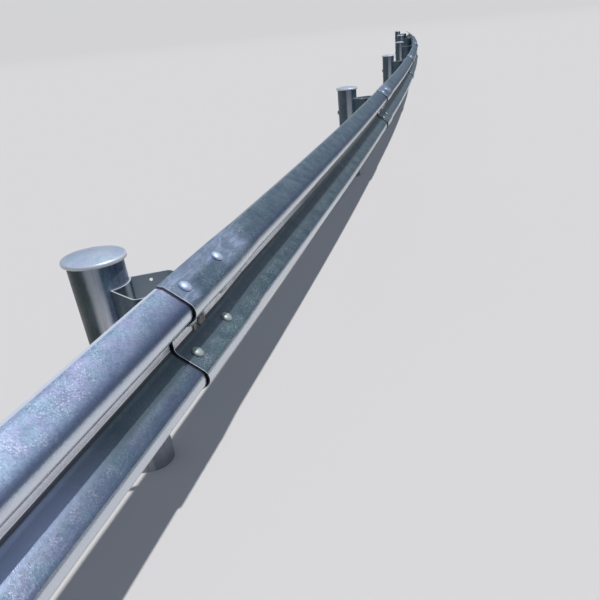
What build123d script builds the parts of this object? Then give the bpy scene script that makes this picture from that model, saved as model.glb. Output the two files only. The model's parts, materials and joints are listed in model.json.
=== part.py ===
from build123d import *
import math
import os

# Highway guardrail section, six bays of two wave steel rail on round steel posts.
# Millimetres. The rail runs along +X and bends to the left, towards +Y, away from the road.
# The road side faces -Y. The origin is the centre of the first post where it leaves the ground.

# Layout
bay_turns = [0.0, 1.7, 1.7, 1.7, 1.7, 1.7]
bay_pitch = 4000.0
straight_at_post = 400.0
ground_z = 0.0
beam_centre_z = 500.0

# Posts and their caps
post_diameter = 152.0
post_wall = 4.5
post_top_z = 677.0
cap_overhang = 11.0
cap_sheet = 3.0
cap_dome_rise = 9.0
cap_skirt = 9.0
cap_flat_edge = 3.0
cap_spigot_depth = 20.0
cap_spigot_clearance = 0.3

# Blockouts, bent plate rings between a post and the rail
blockout_depth = 178.0
blockout_width = 222.0
blockout_height = 200.0
blockout_wall = 4.5
blockout_front_width = 100.0
blockout_wrap_angle = 42.0
blockout_widest_from_post = 80.0
blockout_bend_radius = 20.0
blockout_seat_clearance = 0.3
hanging_hole_radius = 5.0
hanging_hole_drop = 18.0

# Rail beams
beam_thickness = 4.0
beam_height = 310.0
beam_depth = 85.0
beam_edge_depth = 83.0
web_angle = 55.0
lip_angle = 80.0
valley_flat_half = 7.8
wave_inner_radius = 24.0
lip_inner_radius = 10.0
lap_past_post = 160.0
lap_clearance = 0.3
swage_start = 180.0
swage_end = 380.0

# Holes and washers
bolt_hole_radius = 9.0
splice_hole_offset = 108.0
rail_slot_length = 40.0
washer_length = 76.0
washer_width = 34.0
washer_thickness = 4.0
washer_bevel_rise = 2.0

post_radius = post_diameter / 2
valley_back_y = -(post_radius + blockout_depth)
blockout_widest_y = -(post_radius + blockout_widest_from_post)


def turn(angle):
    """Cosine and sine of an angle in degrees."""
    return math.cos(math.radians(angle)), math.sin(math.radians(angle))


def post_stations():
    """Plan position and heading of every post, bay by bay along the rail."""
    stations = [(0.0, 0.0, 0.0)]
    for bay_turn in bay_turns:
        x, y, heading = stations[-1]
        along, across = bay_end(bay_turn)
        cosine, sine = turn(heading)
        x += along * cosine - across * sine
        y += along * sine + across * cosine
        stations.append((x, y, heading + bay_turn))
    return stations


def bend_radius(bay_turn):
    """Radius of the post line in a bay that turns by this many degrees."""
    return (bay_pitch - 2 * straight_at_post) / math.radians(bay_turn)


def bay_end(bay_turn):
    """Next post's place, in the frame of the post before it."""
    if bay_turn == 0:
        return bay_pitch, 0.0
    radius = bend_radius(bay_turn)
    cosine, sine = turn(bay_turn)
    along = straight_at_post + radius * sine + straight_at_post * cosine
    across = radius * (1 - cosine) + straight_at_post * sine
    return along, across


def at_post(shape, station):
    """Moves a shape from a post's own frame to its place in the row."""
    x, y, heading = station
    return Location((x, y, 0), (0, 0, heading)) * shape


def drilled(blank, cutters, station):
    """Moves a blank to its place and only then cuts its holes, so that the cut edges stay exact."""
    piece = at_post(blank, station)
    for cutter in cutters:
        piece = piece - at_post(cutter, station)
    return piece


# Rail profile. The two surfaces of the sheet lie 0 and one thickness from its back.
# A lapped section is moved towards the road and opened at its edges, to nest over a plain one.


def wave_lengths():
    """Lengths of the inner web, the outer web and the lip along the middle of the sheet."""
    web_cos, web_sin = turn(web_angle)
    lip_cos, lip_sin = turn(lip_angle)
    wave_radius = wave_inner_radius + beam_thickness / 2
    lip_radius = lip_inner_radius + beam_thickness / 2
    bend_rise = wave_radius * web_sin
    bend_depth = wave_radius * (1 - web_cos)
    crest_depth = beam_depth - beam_thickness
    inner_web = (crest_depth - 2 * bend_depth) / web_sin
    crest_height = valley_flat_half + 2 * bend_rise + inner_web * web_cos
    rise = beam_height / 2 - beam_thickness / 2 * lip_sin - crest_height - bend_rise
    rise -= lip_radius * (lip_sin - web_sin)
    drop = beam_edge_depth - beam_thickness / 2 * (1 + lip_cos) - bend_depth
    drop -= lip_radius * (web_cos - lip_cos)
    lip = (drop - rise * web_sin / web_cos) / (lip_sin - lip_cos * web_sin / web_cos)
    outer_web = (rise - lip * lip_cos) / web_cos
    return inner_web, outer_web, lip


def lap_growth():
    """How far a lapped section moves towards the road, and how much longer its outer webs are."""
    needed = beam_thickness + lap_clearance
    shift = needed / turn(web_angle)[0]
    longer = (needed - shift * turn(lip_angle)[0]) / turn(lip_angle - web_angle)[1]
    return shift, longer


def surface_steps(offset, lapped):
    """Straight and bent steps of the upper half of one surface of the sheet."""
    inner_web, outer_web, lip = wave_lengths()
    if lapped:
        outer_web += lap_growth()[1]
    crest_radius = wave_inner_radius + offset
    valley_radius = wave_inner_radius + beam_thickness - offset
    edge_radius = lip_inner_radius + offset
    return [
        ("line", valley_flat_half),
        ("bend", valley_radius, web_angle),
        ("line", inner_web),
        ("bend", crest_radius, -2 * web_angle),
        ("line", outer_web),
        ("bend", edge_radius, web_angle - lip_angle),
        ("line", lip),
    ]


def surface_points(offset, lapped=False):
    """Corners and arc middles of a surface's upper half, as height and distance to the road."""
    height, toward_road, angle = 0.0, offset, 0.0
    if lapped:
        toward_road += lap_growth()[0]
    points = [("start", (height, toward_road))]
    for step in surface_steps(offset, lapped):
        if step[0] == "line":
            cosine, sine = turn(angle)
            height += step[1] * cosine
            toward_road += step[1] * sine
            points.append(("line", (height, toward_road)))
        else:
            radius, bend = step[1], step[2]
            side = 1 if bend > 0 else -1
            cosine, sine = turn(angle)
            centre = (height - side * radius * sine, toward_road + side * radius * cosine)
            middle_cos, middle_sin = turn(angle + bend / 2)
            middle = (centre[0] + side * radius * middle_sin, centre[1] - side * radius * middle_cos)
            angle += bend
            end_cos, end_sin = turn(angle)
            height = centre[0] + side * radius * end_sin
            toward_road = centre[1] - side * radius * end_cos
            points.append(("arc", middle, (height, toward_road)))
    return points


def section_point(x, height, toward_road):
    """A point of the rail's section in a post's own frame."""
    return Vector(x, valley_back_y - toward_road, beam_centre_z + height)


def surface_edges(x, offset, lapped):
    """Edges of a whole surface, from the lower edge of the rail to the upper one."""
    upper = surface_points(offset, lapped)
    edges = []
    for side in (-1, 1):
        here = upper[0][1]
        for item in upper[1:]:
            start = section_point(x, side * here[0], here[1])
            end = section_point(x, side * item[-1][0], item[-1][1])
            if item[0] == "line":
                edges.append(Line(start, end))
            else:
                middle = section_point(x, side * item[1][0], item[1][1])
                edges.append(ThreePointArc(start, middle, end))
            here = item[-1]
    return edges


def end_edge(x, side, lapped):
    """Cut edge of the sheet at the upper or lower edge of the rail."""
    back = surface_points(0, lapped)[-1][-1]
    front = surface_points(beam_thickness, lapped)[-1][-1]
    return Line(section_point(x, side * back[0], back[1]), section_point(x, side * front[0], front[1]))


def rail_section(x, lapped=False):
    """Section of the rail across a post's own frame, plain or opened to lap over a plain one."""
    edges = surface_edges(x, 0, lapped) + surface_edges(x, beam_thickness, lapped)
    edges.append(end_edge(x, -1, lapped))
    edges.append(end_edge(x, 1, lapped))
    return Face(Wire.combine(edges)[0])


def web_normal(facing):
    """Unit direction out of a web on the road side, up for facing 1 and down for -1."""
    cosine, sine = turn(web_angle)
    return Vector(0, -cosine, facing * sine)


def splice_rows():
    """Middle of each web and the way it faces, on the front of the plain sheet."""
    points = surface_points(beam_thickness)
    inner_a, inner_b = points[2][-1], points[3][-1]
    outer_a, outer_b = points[4][-1], points[5][-1]
    inner = ((inner_a[0] + inner_b[0]) / 2, (inner_a[1] + inner_b[1]) / 2)
    outer = ((outer_a[0] + outer_b[0]) / 2, (outer_a[1] + outer_b[1]) / 2)
    return [
        (outer[0], outer[1], 1),
        (inner[0], inner[1], -1),
        (-inner[0], inner[1], 1),
        (-outer[0], outer[1], -1),
    ]


def splice_cutters():
    """Round cutters for the eight splice bolts about a post, in the post's own frame."""
    cutters = []
    for x in (-splice_hole_offset, splice_hole_offset):
        for height, toward_road, facing in splice_rows():
            plane = Plane(section_point(x, height, toward_road), z_dir=web_normal(facing))
            cutters.append(plane * Cylinder(bolt_hole_radius, 8 * beam_thickness))
    return cutters


def slot_cutter():
    """Slot for the bolt that ties the rail to its blockout, in the post's own frame."""
    plane = Plane(section_point(0, 0, 0), x_dir=(1, 0, 0), z_dir=(0, -1, 0))
    slot = extrude(plane * SlotOverall(rail_slot_length, 2 * bolt_hole_radius), 4 * beam_thickness, both=True)
    return slot


def swaged_start():
    """First part of a beam that laps over the one before it, and its step back to plain."""
    section = rail_section(-lap_past_post, lapped=True)
    lap = extrude(section, lap_past_post + swage_start, dir=(1, 0, 0))
    step = loft([rail_section(swage_start, lapped=True), rail_section(swage_end)], ruled=True)
    return lap + step


def beam_blank(index):
    """One beam without holes, from its own lap to its end past the next post."""
    bay_turn = bay_turns[index]
    start = -lap_past_post if index == 0 else swage_end
    pieces = [] if index == 0 else [swaged_start()]
    if bay_turn == 0:
        length = bay_pitch + lap_past_post - start
        pieces.append(extrude(rail_section(start), length, dir=(1, 0, 0)))
    else:
        radius = bend_radius(bay_turn)
        pieces.append(extrude(rail_section(start), straight_at_post - start, dir=(1, 0, 0)))
        axis = Axis((straight_at_post, radius, 0), (0, 0, 1))
        pieces.append(revolve(rail_section(straight_at_post), axis, bay_turn))
        along, across = bay_end(bay_turn)
        straight_length = straight_at_post + lap_past_post
        straight_end = extrude(rail_section(-straight_at_post), straight_length, dir=(1, 0, 0))
        pieces.append(at_post(straight_end, (along, across, bay_turn)))
    beam = pieces[0]
    for piece in pieces[1:]:
        beam = beam + piece
    return beam


def rail_beam(index, stations):
    """One beam in its place, with the holes for the posts at both of its ends."""
    cutters = [*splice_cutters(), slot_cutter()]
    beam = drilled(beam_blank(index), cutters, stations[index])
    for cutter in cutters:
        beam = beam - at_post(cutter, stations[index + 1])
    return beam


def bolt_hole_across():
    """Cutter across the post, the blockout and the washer, level with the middle of the rail."""
    plane = Plane((0, 0, beam_centre_z), z_dir=(0, -1, 0))
    return plane * Cylinder(bolt_hole_radius, 4 * (post_diameter + blockout_depth))


def post(station):
    """Round pipe from the ground to its open top."""
    height = post_top_z - ground_z
    ring = Circle(post_radius) - Circle(post_radius - post_wall)
    pipe = extrude(Plane.XY.offset(ground_z) * ring, height)
    return drilled(pipe, [bolt_hole_across()], station)


def dome_arc(edge_radius, edge_z):
    """Arc of a sphere from the cap's centre line down to this radius and height."""
    sphere = (edge_radius**2 + cap_dome_rise**2) / (2 * cap_dome_rise)
    half_angle = math.asin(edge_radius / sphere) / 2
    crown_z = edge_z + cap_dome_rise
    middle = (sphere * math.sin(half_angle), crown_z - sphere * (1 - math.cos(half_angle)))
    return ThreePointArc((0, crown_z), middle, (edge_radius, edge_z))


def post_cap():
    """Pressed lid with a domed top, a rim turned down and a spigot inside the pipe."""
    rim = post_radius + cap_overhang
    bore = post_radius - post_wall - cap_spigot_clearance
    top = post_top_z + cap_sheet
    bend = rim - (post_radius + cap_flat_edge)
    inner_bend = bend - cap_sheet
    shoulder = rim - bend
    corner = math.cos(math.radians(45))
    outline = [
        dome_arc(shoulder, top),
        ThreePointArc(
            (shoulder, top),
            (shoulder + bend * corner, top - bend * (1 - corner)),
            (rim, top - bend),
        ),
        Line((rim, top - bend), (rim, post_top_z - cap_skirt)),
        Line((rim, post_top_z - cap_skirt), (rim - cap_sheet, post_top_z - cap_skirt)),
        Line((rim - cap_sheet, post_top_z - cap_skirt), (rim - cap_sheet, post_top_z - inner_bend)),
        ThreePointArc(
            (rim - cap_sheet, post_top_z - inner_bend),
            (shoulder + inner_bend * corner, post_top_z - inner_bend * (1 - corner)),
            (shoulder, post_top_z),
        ),
        Line((shoulder, post_top_z), (bore, post_top_z)),
        Line((bore, post_top_z), (bore, post_top_z - cap_spigot_depth)),
        Line((bore, post_top_z - cap_spigot_depth), (bore - cap_sheet, post_top_z - cap_spigot_depth)),
        Line((bore - cap_sheet, post_top_z - cap_spigot_depth), (bore - cap_sheet, post_top_z)),
        dome_arc(bore - cap_sheet, post_top_z),
        Line((0, post_top_z + cap_dome_rise), (0, top + cap_dome_rise)),
    ]
    section = Plane.XZ * Face(Wire.combine(outline)[0])
    return revolve(section, Axis.Z, 360)


def blockout(station):
    """Bent plate ring, open above and below, hollowed round the post on one side."""
    seat = post_radius + blockout_seat_clearance
    wrap_cos, wrap_sin = turn(blockout_wrap_angle)
    half_width = blockout_width / 2
    half_front = blockout_front_width / 2
    left_ear = (-seat * wrap_sin, -seat * wrap_cos)
    right_ear = (seat * wrap_sin, -seat * wrap_cos)
    outline = [
        ThreePointArc(left_ear, (0, -seat), right_ear),
        Line(right_ear, (half_width, blockout_widest_y)),
        Line((half_width, blockout_widest_y), (half_front, valley_back_y)),
        Line((half_front, valley_back_y), (-half_front, valley_back_y)),
        Line((-half_front, valley_back_y), (-half_width, blockout_widest_y)),
        Line((-half_width, blockout_widest_y), left_ear),
    ]
    outer = Face(Wire.combine(outline)[0])
    bends = [v for v in outer.vertices() if v.Y < blockout_widest_y / 2]
    outer = outer.fillet_2d(blockout_bend_radius, bends)
    ring = outer - offset(outer, -blockout_wall)
    bottom_z = beam_centre_z - blockout_height / 2
    plate = extrude(Plane.XY.offset(bottom_z) * ring, blockout_height, dir=(0, 0, 1))
    ear = Vector(*right_ear, 0)
    side_middle = (ear + Vector(half_width, blockout_widest_y, 0)) / 2
    side_normal = Vector(right_ear[1] - blockout_widest_y, half_width - right_ear[0], 0).normalized()
    hanging_z = beam_centre_z + blockout_height / 2 - hanging_hole_drop
    hanging = Plane(side_middle + Vector(0, 0, hanging_z), z_dir=side_normal)
    hanging_hole = hanging * Cylinder(hanging_hole_radius, 4 * blockout_wall)
    return drilled(plate, [bolt_hole_across(), hanging_hole], station)


def washer(back_offset, station):
    """Plate under the head of the rail bolt, bevelled to sit between the waves."""
    half_length = washer_length / 2
    half_width = washer_width / 2
    half_flat = valley_flat_half
    front = back_offset + washer_thickness
    rise = back_offset + washer_bevel_rise
    corners = [
        (half_flat, back_offset),
        (half_width, rise),
        (half_width, front),
        (-half_width, front),
        (-half_width, rise),
        (-half_flat, back_offset),
    ]
    points = [section_point(-half_length, *corner) for corner in corners]
    plate = extrude(Face(Wire.make_polygon(points)), washer_length, dir=(1, 0, 0))
    return drilled(plate, [bolt_hole_across()], station)


# Whole row
os.makedirs("parts", exist_ok=True)
stations = post_stations()
one_cap = post_cap()
last = len(stations) - 1
for number, station in enumerate(stations):
    name = str(number + 1)
    export_step(post(station), "parts/post_" + name + ".step")
    export_step(at_post(one_cap, station), "parts/post_cap_" + name + ".step")
    export_step(blockout(station), "parts/blockout_" + name + ".step")
    lapped_here = 0 < number < last
    sheets = beam_thickness + (lap_growth()[0] if lapped_here else 0)
    export_step(washer(sheets, station), "parts/rail_washer_" + name + ".step")

for index in range(len(bay_turns)):
    export_step(rail_beam(index, stations), "parts/rail_beam_" + str(index + 1) + ".step")
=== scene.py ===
import json
import math

import bpy
from mathutils import Matrix, Vector


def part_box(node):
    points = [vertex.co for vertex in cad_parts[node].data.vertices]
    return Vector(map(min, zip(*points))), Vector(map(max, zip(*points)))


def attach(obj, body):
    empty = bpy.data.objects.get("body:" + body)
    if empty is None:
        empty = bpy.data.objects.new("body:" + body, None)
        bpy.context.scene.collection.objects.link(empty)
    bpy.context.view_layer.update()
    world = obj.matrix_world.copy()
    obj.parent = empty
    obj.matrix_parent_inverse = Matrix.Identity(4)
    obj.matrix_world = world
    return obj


# Highway guardrail section: galvanised finishes, fasteners, floor, light and camera.
# Metres. The rail runs along +X, the road is on the -Y side and the ground is at height 0.

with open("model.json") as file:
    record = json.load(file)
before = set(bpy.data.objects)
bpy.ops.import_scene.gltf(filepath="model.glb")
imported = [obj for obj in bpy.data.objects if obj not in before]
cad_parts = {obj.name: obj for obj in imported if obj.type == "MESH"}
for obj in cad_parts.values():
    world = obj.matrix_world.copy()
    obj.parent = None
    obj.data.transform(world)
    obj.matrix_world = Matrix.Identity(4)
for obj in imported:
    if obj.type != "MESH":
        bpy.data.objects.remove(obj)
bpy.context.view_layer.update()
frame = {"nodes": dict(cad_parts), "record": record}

# Sheet and seats that the fasteners bear on
sheet_thickness = 0.004
lap_clearance = 0.0003
blockout_wall = 0.0045
seat_gap = 0.0003

# Bolts and nuts, M16
shank_radius = 0.008
shank_end = 0.006
splice_head_radius = 0.0168
splice_head_height = 0.0085
rail_head_radius = 0.0185
rail_head_height = 0.009
head_rim = 0.0022
nut_across_flats = 0.026
nut_height = 0.0148
post_head_height = 0.007
plain_washer_radius = 0.0165
plain_washer_thickness = 0.003

# Facets of the fasteners. A nut's flat top has this share of its width across flats, and from
# there it falls by this slope to its corners.
head_segments = 28
head_rings = 14
washer_sides = 28
shank_sides = 18
nut_vertices = 24
nut_top_share = 0.94
nut_chamfer_slope = 0.55

# On the unit shapes: just under the middle ring of a ball, and between the rings of a drum
under_middle = -0.01
between_rings = 0.75

# Camera, with the small shift of a photo that was cropped off centre
sensor_width = 0.036
camera_lens = 0.036404
camera_shift = (-0.0333, 0.1667)
camera_reach = 2000.0
camera_place = (2.60741, -0.97844, 1.15904)
camera_right = (0.219709, -0.972025, -0.083035)
camera_up = (0.533355, 0.048414, 0.844505)
camera_back = (-0.81686, -0.229832, 0.529071)

# Light
sun_direction = (0.126, -0.34, 0.932)
sun_strength = 2.3
sun_angle = math.radians(1.2)
fill_strength = 0.32


def srgb(red, green, blue):
    """Linear colour of an 8 bit screen colour."""
    linear = []
    for level in (red, green, blue):
        share = level / 255
        linear.append(share / 12.92 if share <= 0.04045 else ((share + 0.055) / 1.055) ** 2.4)
    return (*linear, 1.0)


# Colours of the floor and the sky
floor_color = srgb(233, 230, 227)
far_color = srgb(211, 211, 213)
horizon_color = srgb(104, 112, 118)
zenith_color = srgb(204, 216, 240)

# Size of the floor, and the stretches of distance and of climb in which floor and sky fade
floor_reach = 600.0
floor_fade = (30.0, 110.0)
sky_fade = (0.05, 0.75)


def coat(colors, sizes, shares, roughness):
    """Inputs of a zinc coat, by their names."""
    names = ["Light Zinc", "Dark Zinc", "Fleck Color", "Cloud Size", "Crystal Size"]
    names += ["Crystals", "Flecks", "Pits", "Mean Roughness"]
    values = [srgb(*color) for color in colors] + [*sizes, *shares, roughness]
    return dict(zip(names, values))


# Zinc coats: light tone, dark tone and flecks, sizes of clouds and crystals in metres, how
# strongly crystals, flecks and pits show, and the roughness
rail_texture = ((0.09, 0.009), (0.3, 0.75, 0.45), 0.38)
stained_texture = ((0.05, 0.006), (0.2, 0.3, 0.3), 0.5)
# The first beam's coat is lighter and bluer than the others' as a painted sky reflection
near_rail_colors = [(203, 213, 238), (142, 160, 184), (244, 247, 252)]
rail_colors = [(119, 138, 149), (75, 95, 107), (200, 210, 218)]
post_colors = [(162, 180, 204), (108, 126, 146), (170, 180, 186)]
cap_colors = [(234, 242, 252), (196, 208, 226), (244, 246, 250)]
blockout_colors = [(88, 110, 122), (66, 84, 96), (170, 182, 190)]
washer_colors = [(206, 200, 194), (150, 146, 144), (206, 200, 194)]
head_colors = [(158, 156, 154), (96, 96, 98), (158, 156, 154)]
fastener_colors = [(214, 222, 214), (158, 170, 168), (238, 242, 238)]
coats = {
    "near_rail": coat(near_rail_colors, *rail_texture),
    "rail": coat(rail_colors, *rail_texture),
    "post": coat(post_colors, (0.11, 0.008), (0.25, 0.25, 0.3), 0.36),
    "cap": coat(cap_colors, (0.06, 0.006), (0.18, 0.25, 0.3), 0.34),
    "blockout": coat(blockout_colors, (0.08, 0.007), (0.2, 0.2, 0.3), 0.5),
    "stained_washer": coat(washer_colors, *stained_texture),
    "stained_head": coat(head_colors, *stained_texture),
    "fastener": coat(fastener_colors, (0.02, 0.003), (0.15, 0.2, 0.3), 0.5),
}

# Zinc texture: sizes as shares of the size of the clouds or of the crystals, levels of noise
# between which each thing shows, and what each thing does to the tone, to the relief and to the
# roughness
cloud_levels = (0.3, 0.7)
wisp_size_share = 0.3
wisp_width = 0.075
drift_size_share = 0.55
drift_levels = (0.4, 0.6)
fleck_size_share = 0.4
fleck_levels = (0.56, 0.66)
patch_size_share = 5.0
patch_levels = (0.42, 0.62)
pit_levels = (0.44, 0.34)
pit_depth = 0.55
cloud_tone = 0.6
wisp_tone = 0.3
crystal_relief = 0.25
tone_roughness = -0.14
roughness_margin = 0.07
run_levels = (0.52, 0.7)
streak_levels = (0.42, 0.66)
weakest_streak = 0.4

# Bottom of the pits, and the faint green and faint pink that the zinc drifts between
black = srgb(0, 0, 0)
green_cast = srgb(242, 255, 252)
pink_cast = srgb(255, 247, 255)

# Height of each coat's relief
relief_heights = {
    "rail": 0.00025,
    "post": 0.00018,
    "cap": 0.00012,
    "blockout": 0.00018,
    "stained": 0.00015,
    "fastener": 0.0001,
}

# Share of each finish that reflects as bare metal
metal_share = 0.5
dull_metal_share = 0.35

# Colours of the marks on the rail: painted reflections, painted shade, painted highlights,
# scuffs, and the plain tone of the back
# Painted dark reflection: the strip above each crest, and the strip under the lip that darkens
# towards the next lap
painted_dark_reflection = srgb(60, 74, 102)
# Painted reflection of the lit floor on the face of each wave
painted_floor_reflection = srgb(216, 222, 232)
# Painted reflection of the lit floor on the flat of the valley
painted_valley_reflection = srgb(230, 231, 238)
# Painted shade on the deep side of the valley, and under the upper wave on the later beams
painted_deep_shade = srgb(78, 94, 98)
# Painted sky reflection that lightens the deep side near the next post
painted_near_sky_reflection = srgb(156, 168, 196)
# Painted highlight on the cut edges of the rail, the end edge of each lap and the rims of the
# caps
painted_highlight = srgb(236, 240, 244)
# Pale scuffs, and a painted sheen brightening the upper web past the splice bolts
scuff_and_sheen_zinc = srgb(196, 209, 238)
# Painted shade: the line under each crest, the valley's lower corner, the cut face of each lap
# and the gap along the lap's edge
painted_shade = srgb(44, 48, 56)
back_zinc = srgb(134, 148, 160)

# Colours of the marks on the other pieces: painted reflections, painted light and painted
# highlights, and real dust, runs, stains and pits
# Painted reflection of the lit floor: the pale stripe down the posts
painted_stripe_reflection = srgb(238, 242, 248)
# Painted dark reflection on one side of the posts
painted_dark_side = srgb(28, 46, 40)
# Dust at the foot of the posts, made paler as a painted reflection of the floor
foot_dust_and_reflection = srgb(172, 168, 172)
post_run = srgb(84, 92, 92)
blockout_run = srgb(100, 108, 112)
# Painted light on the shaded inside of the blockouts
painted_inside_light = srgb(216, 226, 232)
# Painted highlight on the upward facing cut edges of the blockouts
painted_edge_highlight = srgb(222, 226, 224)
stain = srgb(74, 68, 66)
fastener_pit = srgb(110, 106, 100)
# Painted sky reflection on the fasteners of the upper wave
painted_sky_reflection_blue = srgb(198, 211, 240)

# Directions: up, to the road, and the sides of the posts with the painted pale reflection and
# the painted dark reflection
up_direction = (0.0, 0.0, 1.0)
road_direction = (0.0, -1.0, 0.0)
reflection_stripe_direction = (-0.93, -0.37, 0.0)
dark_side_direction = (-0.58, 0.81, 0.0)

# Distance of each wave's crest from the middle of the rail
crest_from_centre = 0.0916

# Tones of the first beam, of the second and of the others, with how strongly each painted
# reflection, painted shade and painted highlight shows on them. A start is at the beam's own
# lap, an end is further on, and near_end is where it passes under the next beam.
first_tone = {
    "coat": "near_rail",
    "lower_tint": srgb(160, 168, 165),
    "near_end": 0.8,
    "lip_shade": 0.21,
    "crest_shade": 0.8,
    "edge": 0.81,
    "under_wave_end": 0.0,
    "valley_end": 0.94,
    "face_low_end": -0.032,
    "face_start": 0.94,
    "face_end": 0.94,
}
second_tone = {
    "coat": "rail",
    "lower_tint": srgb(252, 252, 242),
    "near_end": 0.1,
    "lip_shade": 0.315,
    "crest_shade": 0.45,
    "edge": 0.25,
    "under_wave_end": 0.5,
    "valley_end": 0.0,
    "face_low_end": -0.008,
    "face_start": 0.94,
    "face_end": 0.6,
}
rail_tones = [first_tone, second_tone, {**second_tone, "face_start": 0.6}]

# Bands on the rail: low edge, high edge, and how far each edge fades outward
height_bands = {
    "lower_wave": (-1.0, -0.02, 0.1, 0.01),
    "deep_side": (-0.047, -0.012, 0.006, 0.004),
    "under_wave": (-0.012, 0.088, 0.004, 0.008),
    "below_lip": (0.1, 0.118, 0.004, 0.034),
    "valley": (-0.009, 0.03, 0.003, 0.004),
    "corner": (-0.0175, -0.012, 0.004, 0.003),
    "under_lip": (0.145, 1.0, 0.014, 0.1),
    "cut_edge": (0.154, 1.0, 0.0005, 0.1),
}
crest_bands = {
    "shade": (0.0115, 0.019, 0.003, 0.016),
    "painted_shade": (-0.0115, -0.009, 0.0015, 0.0015),
}
lap_bands = {
    "edge": (-1.0, -0.1575, 0.1, 0.001),
    "cut_face": (-1.0, -0.1598, 0.1, 0.0001),
    "painted_shade": (-0.1655, -0.158, 0.0025, 0.5),
    "end": (-1.0, -0.115, 0.1, 0.06),
    "past_bolts": (0.13, 0.24, 0.05, 0.12),
}

# Stretches along a beam in which marks fade, from its own post and from the next one
fades = {
    "under_wave": (0.6, 1.4),
    "valley": (0.6, 1.4),
    "face_low": (0.5, 1.3),
    "face": (1.2, 2.4),
    "crest_shade": (0.26, 0.36),
    "past_swage": (0.3, 0.4),
    "before_plain": (0.2, 0.5),
    "ripples_in": (0.02, 0.14),
    "ripples_out": (0.3, 0.55),
}
next_post_fades = {"near_end": (-0.8, -0.45), "lip_shade": (-0.8, -0.25)}

# Face of each wave, with its painted reflection of the lit floor, from its crest: its edges, and
# how the lower wave's differs
face_low = -0.032
face_top = -0.002
face_fade = 0.018
face_low_softness = 0.002
lower_face_rise = 0.0145
lower_face_fade = -0.013
lower_shade_drop = -0.005
lower_shade_share = 0.3

# Size of the pattern of breaks, and how far it shifts the edges of the marks
break_size = 0.014
shade_break = 0.008
face_break = 0.002
contact_shade_break = 0.002

# How strongly each mark on the rail shows at most
mark_shares = {
    "deep_side": 0.72,
    "below_lip": 0.62,
    "painted_shade_line": 0.3,
    "valley": 0.94,
    "corner": 0.85,
    "scuffs_and_sheen": 0.62,
    "lap_edge": 0.6,
    "lap_contact_shade": 0.85,
    "back": 0.65,
}
shade_share_at_lap = 0.15
lower_tint_at_end = -0.35

# Cut face of a lap, with painted shade: heights between which its dark share falls, and the
# shares
cut_face_heights = (0.11, 0.15)
cut_face_shares = (0.98, 0.5)

# Scuffs and painted sheen: stretch along the rail, size, and height above which they show
scuff_and_sheen_stretch = (0.25, 1.0, 1.0)
scuff_and_sheen_size = 0.026
scuff_and_sheen_heights = (0.1, 0.124)

# Dents past the lap
ripple_size = 0.07
ripple_height = 12.0

# Normals between which the road side's marks, painted reflections and painted shade among them,
# set in, and what a mirrored place gains and loses
front_fade = (-0.15, -0.05)
mirror_metal = 0.4
mirror_roughness = -0.16

# Posts: the paler stripe of painted reflection, the darker side of painted dark reflection, the
# splash at the foot of dust and painted floor reflection, and the dried runs
wander_size = 0.25
stripe_wander = 0.02
stripe_fade = (0.955, 0.995)
stripe_heights = (0.66, 0.5)
stripe_top_share = 0.6
dark_side_fade = (0.1, 0.7)
dark_side_stretch = (5.0, 7.5)
dark_side_shares = (0.9, 0.72)
splash_size = 0.05
splash_height = 0.3
splash_fade = 0.05
splash_and_reflection_share = 0.6
splash_roughness = 0.4

# Dried runs: width, length and amount
post_runs = (0.012, 0.3, 0.35)
blockout_runs = (0.01, 0.12, 0.3)

# Caps: how level the surface is where the rim's painted highlight ends, and what the rim's
# painted highlight does
rim_fade = (0.5, 0.95)
rim_share = 0.9
rim_metal = -0.4

# Blockouts: where the painted light inside and the painted highlight on the upward facing edges
# begin, and how strongly the inside is lit
inside_fade = (0.004, -0.002)
inside_share = 0.8
plate_edge_fade = (0.7, 0.9)

# Stains and pits of the small parts
stain_size = 0.012
stain_fade = (0.46, 0.58)
stain_share = 0.85
pit_size = 0.006
pit_fade = (0.58, 0.7)
pit_share = 0.4
# Painted sky reflection on the upper fasteners: where it starts and ends above the rail's
# middle, and its share
blue_start = 0.04
blue_end = 0.06
blue_share = 0.75

# Places read from the frame


def count_posts():
    """How many posts the row has."""
    number = 0
    while "post_" + str(number + 1) in frame["nodes"]:
        number += 1
    return number


def post_frames():
    """Each post's own frame: its centre on the ground, turned to the rail's heading there."""
    centres = []
    for number in range(1, count_posts() + 1):
        low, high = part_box("post_" + str(number))
        centres.append((low + high) / 2)
    heading = 0.0
    frames = [Matrix.Translation((centres[0].x, centres[0].y, 0))]
    for here, there in zip(centres, centres[1:]):
        chord = math.atan2(there.y - here.y, there.x - here.x)
        heading = 2 * chord - heading
        place = Matrix.Translation((there.x, there.y, 0))
        frames.append(place @ Matrix.Rotation(heading, 4, "Z"))
    return frames


def splice_holes(frames):
    """Middle and outward direction of the splice holes about a post, in the post's own frame."""
    into_post = frames[-1].inverted()
    holes = []
    for mount in frame["record"]["mounts"]:
        if mount["name"].startswith("far_splice_"):
            middle = into_post @ Vector(mount["pos_m"])
            outward = into_post.to_3x3() @ Vector(mount["axis"])
            holes.append((middle, outward))
    return holes


# Node building


def node(tree, kind, inputs=None, **settings):
    """Adds a node, with its settings and with values or links for its inputs."""
    made = tree.nodes.new(kind)
    for name, value in settings.items():
        setattr(made, name, value)
    for key, value in (inputs or {}).items():
        if isinstance(value, bpy.types.NodeSocket):
            tree.links.new(value, made.inputs[key])
        else:
            made.inputs[key].default_value = value
    return made


def math_node(tree, operation, *values, clamp=False):
    """Result of one arithmetic step on numbers or sockets."""
    inputs = dict(enumerate(values))
    return node(tree, "ShaderNodeMath", inputs, operation=operation, use_clamp=clamp).outputs[0]


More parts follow.
